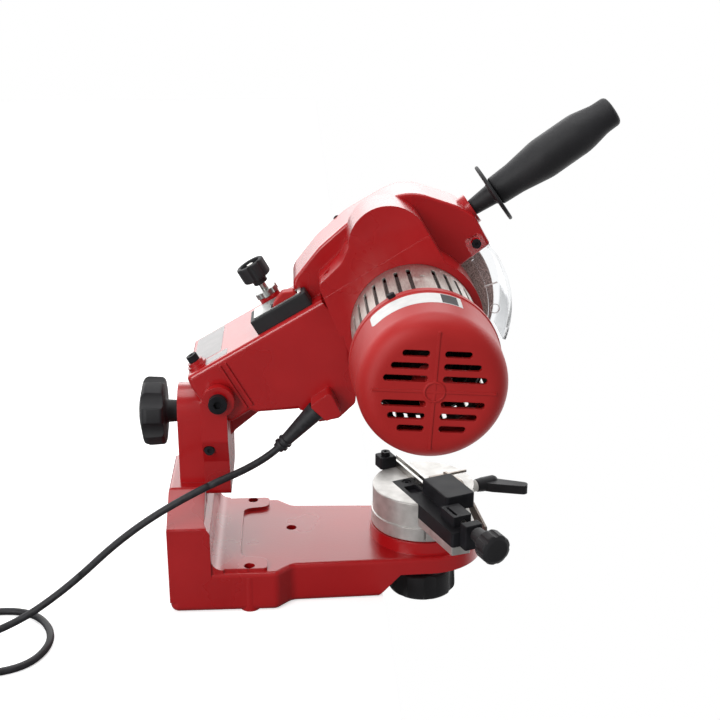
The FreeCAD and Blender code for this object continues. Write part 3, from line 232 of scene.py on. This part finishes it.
def set_light():
    """White to the camera and through clear pieces, the sweep in mirrors, soft light elsewhere."""
    world = bpy.data.worlds.new("studio")
    scene.world = world
    world.use_nodes = True
    nodes, links = world.node_tree.nodes, world.node_tree.links
    lit = choose(nodes, path_ray(nodes, "Is Glossy Ray"), ROOM_LIGHT, sweep_strength(nodes, links))
    shown = choose(nodes, path_ray(nodes, "Is Camera Ray"), lit, 1.0)
    through = choose(nodes, path_ray(nodes, "Is Transmission Ray"), shown, 1.0)
    nodes["Background"].inputs["Color"].default_value = (1, 1, 1, 1)
    links.new(through, nodes["Background"].inputs["Strength"])
    middle, front_foot = (0.08, 0, 0.15), (0, 0, 0.04)
    area_light("key", place=(-0.9, -1.2, 1.1), target=middle, size=(0.7, 0.7), power=11)
    area_light("fill", place=(-1.0, -1.35, 0.16), target=front_foot, size=(0.9, 0.3), power=4.5)
    area_light("top", place=(0.1, 0.1, 1.6), target=middle, size=(1.2, 1.0), power=10)
    scene.view_settings.view_transform = "Standard"


def set_floor():
    """A white bench that ends where the machine's nose hangs over its edge."""
    left, right, near, far, edge_foot = -3.0, 0.112, -1.2, 3.0, -0.03
    mesh = bpy.data.meshes.new("bench")
    mesh.from_pydata([(left, near, 0), (right, near, 0), (right, far, 0), (left, far, 0),
                      (right, near, edge_foot), (right, far, edge_foot)],
                     [], [(0, 1, 2, 3), (1, 4, 5, 2)])
    floor = bpy.data.objects.new("bench_top", mesh)
    scene.collection.objects.link(floor)
    shown, bounced, own_glow = (0.92, 0.92, 0.92), (0.2, 0.2, 0.2), 0.6
    mat, nodes, links, surface = surface_material("bench_white", shown, roughness=0.6)
    seen = path_ray(nodes, "Is Camera Ray")
    shade(nodes, links, surface, seen, bounced, shown)
    surface.inputs["Emission Color"].default_value = (1, 1, 1, 1)
    links.new(choose(nodes, seen, 0.0, own_glow), surface.inputs["Emission Strength"])
    floor.data.materials.append(mat)


# --- materials ---

def red_enamel():
    mat, nodes, links, surface = surface_material("red_enamel", linear(180, 17, 22), roughness=0.3)
    cloud = texture(nodes, links, "ShaderNodeTexNoise", scale=14, Detail=4)
    grain = texture(nodes, links, "ShaderNodeTexNoise", scale=650, Detail=2)
    shade(nodes, links, surface, spread(nodes, links, out(cloud), 0, 1),
          linear(172, 14, 19), linear(187, 20, 25))
    links.new(spread(nodes, links, out(cloud), low=0.24, high=0.34), surface.inputs["Roughness"])
    surface.inputs["Coat Weight"].default_value = 0.5
    surface.inputs["Coat Roughness"].default_value = 0.16
    soften(nodes, links, surface, out(grain), strength=0.25, depth=0.00025, edge=0.0009)
    return mat


def red_moulding():
    mat, nodes, links, surface = surface_material("red_moulding", linear(178, 30, 29),
                                                  roughness=0.46)
    cloud = texture(nodes, links, "ShaderNodeTexNoise", scale=20, Detail=3)
    spark = texture(nodes, links, "ShaderNodeTexNoise", scale=1600, Detail=1)
    shade(nodes, links, surface, spread(nodes, links, out(cloud), 0, 1),
          linear(173, 27, 26), linear(184, 34, 33))
    links.new(spread(nodes, links, out(cloud), low=0.42, high=0.52), surface.inputs["Roughness"])
    surface.inputs["Specular IOR Level"].default_value = 0.38
    soften(nodes, links, surface, out(spark), strength=0.35, depth=0.0001, edge=0.0008)
    return mat


def black_moulding():
    mat, nodes, links, surface = surface_material("black_moulding", linear(30, 30, 33),
                                                  roughness=0.58)
    cloud = texture(nodes, links, "ShaderNodeTexNoise", scale=30, Detail=3)
    spark = texture(nodes, links, "ShaderNodeTexVoronoi", scale=1500)
    shade(nodes, links, surface, spread(nodes, links, out(cloud), 0, 1),
          linear(26, 26, 29), linear(38, 38, 41))
    links.new(spread(nodes, links, out(cloud), low=0.5, high=0.66), surface.inputs["Roughness"])
    soften(nodes, links, surface, out(spark), strength=0.4, depth=0.00012, edge=0.0007)
    return mat


def black_oxide():
    mat, nodes, links, surface = surface_material("black_oxide", linear(30, 30, 33),
                                                  roughness=0.5, metallic=0.1)
    cloud = texture(nodes, links, "ShaderNodeTexNoise", scale=60, Detail=5)
    shade(nodes, links, surface, spread(nodes, links, out(cloud), 0, 1),
          linear(24, 24, 27), linear(44, 44, 48))
    links.new(spread(nodes, links, out(cloud), low=0.44, high=0.6), surface.inputs["Roughness"])
    surface.inputs["Specular IOR Level"].default_value = 0.14
    soften(nodes, links, surface, out(cloud), strength=0.2, depth=0.0002, edge=0.0005)
    return mat


def worked_steel(name, dark, light, rough, stretch, scale=220):
    """Bright metal with fine lines left by working it, smoother and rougher by turns."""
    mat, nodes, links, surface = surface_material(name, light, rough, metallic=1.0)
    lines = texture(nodes, links, "ShaderNodeTexNoise", scale, stretch, Detail=5, Roughness=0.7)
    shade(nodes, links, surface, spread(nodes, links, out(lines), 0, 1), dark, light)
    links.new(spread(nodes, links, out(lines), low=rough * 0.8, high=rough * 1.3),
              surface.inputs["Roughness"])
    surface.inputs["Anisotropic"].default_value = 0.35
    soften(nodes, links, surface, out(lines), strength=0.25, depth=0.0001, edge=0.0005)
    return mat


def cast_alloy():
    """Light alloy turned about the table's axis, which leaves rings."""
    mat, nodes, links, surface = surface_material("cast_alloy", linear(208, 206, 203),
                                                  roughness=0.5, metallic=0.75)
    rings = texture(nodes, links, "ShaderNodeTexWave", scale=260, Distortion=0.4, Detail=2)
    rings.wave_type = "RINGS"
    rings.rings_direction = "Z"
    mapping = rings.inputs["Vector"].links[0].from_node
    mapping.inputs["Location"].default_value = (-TABLE_AXIS_X * MM, 0, 0)
    cloud = texture(nodes, links, "ShaderNodeTexNoise", scale=90, Detail=6)
    shade(nodes, links, surface, spread(nodes, links, out(cloud), 0, 1),
          linear(196, 194, 190), linear(226, 224, 221))
    links.new(spread(nodes, links, out(rings), low=0.42, high=0.56, start=0, end=1),
              surface.inputs["Roughness"])
    soften(nodes, links, surface, out(rings), strength=0.25, depth=0.00006, edge=0.0005)
    return mat


def clear_sheet():
    mat, nodes, links, surface = surface_material("clear_sheet", (0.97, 0.98, 0.99),
                                                  roughness=0.06)
    surface.inputs["Transmission Weight"].default_value = 1.0
    surface.inputs["IOR"].default_value = 1.3
    surface.inputs["Specular IOR Level"].default_value = 0.3
    haze = texture(nodes, links, "ShaderNodeTexNoise", scale=120, stretch=(1, 1, 8), Detail=6)
    links.new(spread(nodes, links, out(haze), low=0.03, high=0.12), surface.inputs["Roughness"])
    soften(nodes, links, surface, out(haze), strength=0.05, depth=0.0001, edge=0.0004)
    return mat


def abrasive():
    mat, nodes, links, surface = surface_material("abrasive", linear(132, 112, 108),
                                                  roughness=0.92)
    grit = texture(nodes, links, "ShaderNodeTexVoronoi", scale=900)
    shade(nodes, links, surface, spread(nodes, links, out(grit), 0, 1, start=0.1, end=0.7),
          linear(100, 84, 80), linear(164, 140, 134))
    soften(nodes, links, surface, out(grit), strength=0.9, depth=0.0003, edge=0.0003)
    return mat


def motor_iron():
    """Thin iron plates stacked along the motor."""
    mat, nodes, links, surface = surface_material("motor_iron", linear(58, 55, 54),
                                                  roughness=0.55, metallic=0.8)
    plates = texture(nodes, links, "ShaderNodeTexWave", scale=420, Distortion=0.1)
    plates.bands_direction = "Y"
    shade(nodes, links, surface, spread(nodes, links, out(plates), 0, 1, start=0, end=1),
          linear(40, 38, 37), linear(84, 80, 78))
    soften(nodes, links, surface, out(plates), strength=0.5, depth=0.0002, edge=0.0004)
    return mat


def cord_sheath():
    mat, nodes, links, surface = surface_material("cord_sheath", linear(30, 30, 33),
                                                  roughness=0.55)
    dust = texture(nodes, links, "ShaderNodeTexNoise", scale=260, Detail=4)
    shade(nodes, links, surface, spread(nodes, links, out(dust), 0, 1),
          linear(24, 24, 27), linear(46, 46, 50))
    links.new(spread(nodes, links, out(dust), low=0.45, high=0.62), surface.inputs["Roughness"])
    soften(nodes, links, surface, out(dust), strength=0.2, depth=0.00015, edge=0.0003)
    return mat


def pale_moulding(name, dark, light):
    mat, nodes, links, surface = surface_material(name, light, roughness=0.45)
    cloud = texture(nodes, links, "ShaderNodeTexNoise", scale=120, Detail=4)
    shade(nodes, links, surface, spread(nodes, links, out(cloud), 0, 1), dark, light)
    links.new(spread(nodes, links, out(cloud), low=0.38, high=0.52), surface.inputs["Roughness"])
    soften(nodes, links, surface, out(cloud), strength=0.1, depth=0.0001, edge=0.0003)
    return mat


def make_materials():
    return {
        "red_paint": red_enamel(),
        "red_plastic": red_moulding(),
        "black_plastic": black_moulding(),
        "black_steel": black_oxide(),
        "bright_steel": worked_steel("bright_steel", linear(168, 166, 162), linear(214, 212, 208),
                                     rough=0.26, stretch=(1, 14, 1)),
        "zinc_steel": worked_steel("zinc_steel", linear(170, 172, 170), linear(206, 208, 206),
                                   rough=0.36, stretch=(1, 1, 1), scale=400),
        "silver_casting": cast_alloy(),
        "motor_steel": worked_steel("motor_steel", linear(178, 172, 166), linear(216, 210, 204),
                                    rough=0.48, stretch=(8, 1, 8), scale=160),
        "clear_plastic": clear_sheet(),
        "abrasive": abrasive(),
        "iron_core": motor_iron(),
        "cord_rubber": cord_sheath(),
        "pale_plastic": pale_moulding("pale_moulding", linear(196, 194, 188),
                                      linear(218, 216, 210)),
        "tan_steel": worked_steel("tan_steel", linear(142, 132, 124), linear(180, 170, 162),
                                  rough=0.42, stretch=(10, 1, 1), scale=260),
        "label_film": pale_moulding("label_film", linear(176, 174, 174), linear(196, 194, 194)),
        "cap_label": pale_moulding("cap_label", linear(216, 216, 216), linear(234, 234, 232)),
        # Near white: a painted glint for the clear guard's moulded bead and ring, which are really
        # clear.
        "clear_edge": pale_moulding("clear_edge", linear(226, 222, 220), linear(240, 238, 236)),
    }


def dress_nodes(materials):
    """Each node takes its slot's finish. The stop slide is blackened, as the photograph has it."""
    for entry in frame["record"]["subparts"]:
        node = NODES[entry["node"]]
        finish = "black_steel" if entry["node"] == "stop_slide" else entry["material_slot"]
        for place in node.material_slots:
            place.link = "OBJECT"
            place.material = materials[finish]


# --- shapes ---

def piece_of(name, shape, material, smooth):
    bmesh.ops.recalc_face_normals(shape, faces=shape.faces)
    mesh = bpy.data.meshes.new(name)
    shape.to_mesh(mesh)
    shape.free()
    for face in mesh.polygons:
        face.use_smooth = smooth
    mesh.materials.append(material)
    piece = bpy.data.objects.new(name, mesh)
    scene.collection.objects.link(piece)
    return piece


def plate(name, outline, thick, material):
    """A thin closed piece: an outline of points, and the same points moved by thick."""
    shape = bmesh.new()
    upper = [shape.verts.new(point) for point in outline]
    lower = [shape.verts.new(point + thick) for point in outline]
    shape.faces.new(upper)
    shape.faces.new(list(reversed(lower)))
    for i, corner in enumerate(upper):
        after = (i + 1) % len(upper)
        shape.faces.new((upper[after], corner, lower[i], lower[after]))
    return piece_of(name, shape, material, smooth=False)


def tube(name, line, radius, material, sides=14):
    """A closed round tube whose rings follow a line without twisting, in metres."""
    shape = bmesh.new()
    normal = Vector((0, 1, 0))
    rings = []
    for i, here in enumerate(line):
        ahead = (line[min(i + 1, len(line) - 1)] - line[max(i - 1, 0)]).normalized()
        normal = (normal - ahead * normal.dot(ahead)).normalized()
        side = ahead.cross(normal)
        rings.append([shape.verts.new(here + (normal * math.cos(2 * math.pi * k / sides)
                                              + side * math.sin(2 * math.pi * k / sides)) * radius)
                      for k in range(sides)])
    for one, other in zip(rings, rings[1:]):
        for k in range(sides):
            shape.faces.new((one[k], one[(k + 1) % sides], other[(k + 1) % sides], other[k]))
    shape.faces.new(list(reversed(rings[0])))
    shape.faces.new(rings[-1])
    return piece_of(name, shape, material, smooth=True)


def rounded_corners(left, right, low, high, radius):
    """Points round a rectangle, with each corner a quarter circle in three steps."""
    steps = 3
    centres = [(right - radius, high - radius, 0), (left + radius, high - radius, 90),
               (left + radius, low + radius, 180), (right - radius, low + radius, 270)]
    return [(x + radius * math.cos(math.radians(start + 90 * k / steps)),
             y + radius * math.sin(math.radians(start + 90 * k / steps)))
            for x, y, start in centres for k in range(steps + 1)]


def socket_screw(name, seat, axis, up, radius, height, material, body):
    """A low screw head with a six-sided socket, seated at a point along an axis."""
    chamfer_start, chamfer_top, socket, socket_floor = 0.75, 0.85, 0.52, 0.35
    side = axis.cross(up)
    profile = [(radius, 0, False), (radius, height * chamfer_start, False),
               (radius * chamfer_top, height, False), (radius * socket, height, True),
               (radius * socket, height * socket_floor, True), (0, height * socket_floor, False)]
    shape = bmesh.new()
    steps = 24
    rings = []
    for reach, level, six_sided in profile:
        ring = []
        for k in range(steps if reach else 1):
            angle = 2 * math.pi * k / steps
            true = reach
            if six_sided:
                true = reach * math.cos(math.pi / 6) / math.cos(angle % (math.pi / 3) - math.pi / 6)
            ring.append(shape.verts.new(seat + (up * math.cos(angle) + side * math.sin(angle))
                                        * (true * MM) + axis * (level * MM)))
        rings.append(ring)
    for one, other in zip(rings, rings[1:]):
        for k in range(steps):
            if len(other) == 1:
                shape.faces.new((one[k], one[(k + 1) % steps], other[0]))
            else:
                shape.faces.new((one[k], one[(k + 1) % steps], other[(k + 1) % steps], other[k]))
    shape.faces.new(list(reversed(rings[0])))
    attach(piece_of(name, shape, material, smooth=False), body)


# --- labels, marks and small screws ---

def arm_labels(materials):
    """Two bare labels on the arm's top, each set by its sides along and across the arm."""
    stands, thick, corner = 0.12, 0.2, 1.5
    down = head_point(0, 0, -thick) - head_point(0, 0, 0)
    for name, sides in (("arm_label", (-8, 18.5, -25, 41)), ("arm_label_small", (5, 25, -41, -28))):
        outline = [head_point(x, y, ARM_TOP + stands) for x, y in rounded_corners(*sides, corner)]
        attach(plate(name, outline, down, materials["label_film"]), "head")


def skirt_point(turn, across, lift):
    """A place on the end cap's tapered skirt, by angle about the axle."""
    taper = (SKIRT_START_RADIUS - SKIRT_END_RADIUS) / (SKIRT_START - SKIRT_END)
    return axle_point(turn, SKIRT_START_RADIUS + (across - SKIRT_START) * taper + lift, across)


def skirt_label(name, start, end, low, high, lift, material, corner=0.0):
    """A bare label round part of the skirt. The corners of its first end may be rounded."""
    columns, sunk = 40, -0.15
    shape = bmesh.new()
    rows = []
    for i in range(columns + 1):
        turn = start + (end - start) * i / columns
        inset = 0.0
        gone = math.radians(abs(turn - start)) * SKIRT_MID_RADIUS
        if gone < corner:
            inset = corner - math.sqrt(corner ** 2 - (corner - gone) ** 2)
        edges = (low + inset, high - inset)
        rows.append([shape.verts.new(skirt_point(turn, edge, rise))
                     for rise in (lift, sunk) for edge in edges])
    for one, other in zip(rows, rows[1:]):
        for a, b in ((0, 1), (1, 3), (3, 2), (2, 0)):
            shape.faces.new((one[a], one[b], other[b], other[a]))
    for ends in (rows[0], rows[-1]):
        shape.faces.new((ends[0], ends[1], ends[3], ends[2]))
    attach(piece_of(name, shape, material, smooth=False), "head")


def cap_labels(materials):
    """A pale label round the end cap, and a dark block on it."""
    skirt_label("cap_label", start=108.5, end=35, low=-175, high=-155.8, lift=0.12,
                material=materials["cap_label"], corner=3)
    skirt_label("cap_label_block", start=51, end=38.5, low=-174, high=-157, lift=0.2,
                material=materials["black_plastic"])


def guard_marks(materials):
    """The moulded bead and ring on the clear guard's outer side, drawn as near-white painted
    glints.
    """
    stands = 0.02
    across = GUARD_SIDE - stands
    bead_start, bead_end, bead_near, bead_far, bead_depth = -11.2, -12.2, 63, 74, 0.4
    bead = [axle_point(turn, reach, across)
            for turn, reach in ((bead_start, bead_near), (bead_start, bead_far),
                                (bead_end, bead_far), (bead_end, bead_near))]
    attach(plate("guard_bead", bead, Vector((0, bead_depth, 0)) * MM, materials["clear_edge"]),
            "head")
    ring_turn, ring_reach, ring_radius, ring_wire, ring_steps = -29, 69, 3.8, 0.35, 24
    along = AXLE_ALONG + ring_reach * math.cos(math.radians(ring_turn))
    up = AXLE_UP + ring_reach * math.sin(math.radians(ring_turn))
    angles = [math.radians(360 / ring_steps * k) for k in range(ring_steps + 1)]
    path = [head_point(along + ring_radius * math.cos(angle), across,
                       up + ring_radius * math.sin(angle)) for angle in angles]
    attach(tube("guard_ring", path, ring_wire * MM, materials["clear_edge"], sides=8), "head")


def small_screws(materials):
    """The guard cover's three screws, and the one in the vise base's recess."""
    cover_places = {"a": (104, 30), "b": (150, 62.5), "c": (232, 36)}
    arm_up = (head_point(0, 0, 1) - head_point(0, 0, 0)).normalized()
    for letter, (along, up) in cover_places.items():
        socket_screw("cover_screw_" + letter, head_point(along, COVER_SIDE, up),
                     Vector((0, 1, 0)), arm_up, radius=3.4, height=2.4,
                     material=materials["black_steel"], body="head")
    recess = table_point(-12.6, 7, 78)
    socket_screw("vise_screw", recess, Vector((0, 0, 1)), Vector((1, 0, 0)),
                 radius=3.9, height=3.4, material=materials["black_steel"], body="table")


# --- mains cord ---

CORD_RADIUS = 3
ROUTE = [(28.4, -54, 143.7), (14.5, -54, 129.3), (-42, -77, 114.5), (-97, -80, 80.5),
         (-148, -79, 31), (-194, -92, 4.2), (-250, -122, 3), (-312, -142, 3), (-358, -98, 3),
         (-314, -52, 3), (-254, -72, 3), (-184, -58, 3), (-152, -104, 3), (-170, -152, 3)]
TAIL = [(-264, -153, 8), (-288, -166, 12), (-300, -186, 18.5)]
COIL_CENTRE = Vector((-235, -190, 0))
COIL_MID = 33

# The drawn cord is cut at these places along x, among the points of its line that lie on the way
# down from the arm to the bench.
ARM_SEAM_X, POST_SEAM_X = -30, -135
POINTS_ON_WAY_DOWN = 120


def coil_points():
    """Turns beside and on each other, the way they are wound: outer low, inner low, then up."""
    steps, crossing = 12, 0.25
    outer, inner = COIL_MID + CORD_RADIUS, COIL_MID - CORD_RADIUS
    low, high = CORD_RADIUS, 3 * CORD_RADIUS
    lanes = [(outer, low), (inner, low), (inner, high), (outer, high)]
    points = []
    for (radius, height), after in zip(lanes, lanes[1:] + lanes[-1:]):
        for step in range(steps):
            share = max(0.0, step / steps - (1 - crossing)) / crossing
            reach = radius + (after[0] - radius) * share
            level = height + (after[1] - height) * share
            angle = math.radians(90 + 360 * step / steps)
            points.append(COIL_CENTRE + Vector((reach * math.cos(angle), reach * math.sin(angle),
                                                level)))
    return points


def smooth_line(points, per_run=10):
    """Points along the smooth line that the route's points control, in metres."""
    curve = bpy.data.curves.new("route", "CURVE")
    curve.dimensions = "3D"
    spline = curve.splines.new("NURBS")
    spline.points.add(len(points) - 1)
    for slot, point in zip(spline.points, points):
        slot.co = (*(Vector(point) * MM), 1)
    spline.order_u = 3
    spline.use_endpoint_u = True
    spline.resolution_u = per_run
    holder = bpy.data.objects.new("route", curve)
    mesh = bpy.data.meshes.new_from_object(holder)
    line = [vertex.co.copy() for vertex in mesh.vertices]
    bpy.data.objects.remove(holder)
    return line


def seam(line, x):
    """The number of the line's point nearest to x on the way down."""
    return min(range(POINTS_ON_WAY_DOWN), key=lambda i: abs(line[i].x - x * MM))


def make_cord(materials):
    line = smooth_line(ROUTE + coil_points() + TAIL)
    first, second = seam(line, ARM_SEAM_X), seam(line, POST_SEAM_X)
    parts = [("cord_at_arm", line[:first + 1], "object", "head", "bracket"),
             ("cord_at_post", line[first:second + 1], "object", "bracket", "base"),
             ("cord_on_bench", line[second:], "plug", "base", None)]
    for name, piece_line, far_end, body, other in parts:
        piece = tube(name, piece_line, CORD_RADIUS * MM, materials["cord_rubber"])
        if other:
            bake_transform(piece)
        else:
            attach(piece, body)
            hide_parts("cord", "cord_coil", "cord_tail")


def coil_tie(materials):
    """A flat band round the coil's four turns, which bites a little into them."""
    turn, half_width, thick, bite, corner = math.radians(205), 2.2, 0.45, 0.1, 2.6
    inside, outside = COIL_MID - 2 * CORD_RADIUS, COIL_MID + 2 * CORD_RADIUS
    top, clear_of_bench, bottom = 4 * CORD_RADIUS, 0.05, 0.25
    outer = rounded_corners(inside - thick, outside + thick, clear_of_bench, top + thick, corner)
    inner = rounded_corners(inside + bite, outside - bite, bottom, top - bite, corner)
    out_way = Vector((math.cos(turn), math.sin(turn), 0))
    along = Vector((-math.sin(turn), math.cos(turn), 0)) * half_width * MM
    shape = bmesh.new()
    loops = []
    for points, side in ((outer, -1), (outer, 1), (inner, 1), (inner, -1)):
        loops.append([shape.verts.new((COIL_CENTRE + out_way * x + Vector((0, 0, z))) * MM
                                      + along * side) for x, z in points])
    for one, other in zip(loops, loops[1:] + loops[:1]):
        for k in range(len(one)):
            after = (k + 1) % len(one)
            shape.faces.new((one[k], one[after], other[after], other[k]))
    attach(piece_of("coil_tie", shape, materials["black_plastic"], smooth=False), "base")


set_camera()
MATERIALS = make_materials()
set_light()
set_floor()
dress_nodes(MATERIALS)
arm_labels(MATERIALS)
cap_labels(MATERIALS)
guard_marks(MATERIALS)
small_screws(MATERIALS)
make_cord(MATERIALS)
coil_tie(MATERIALS)
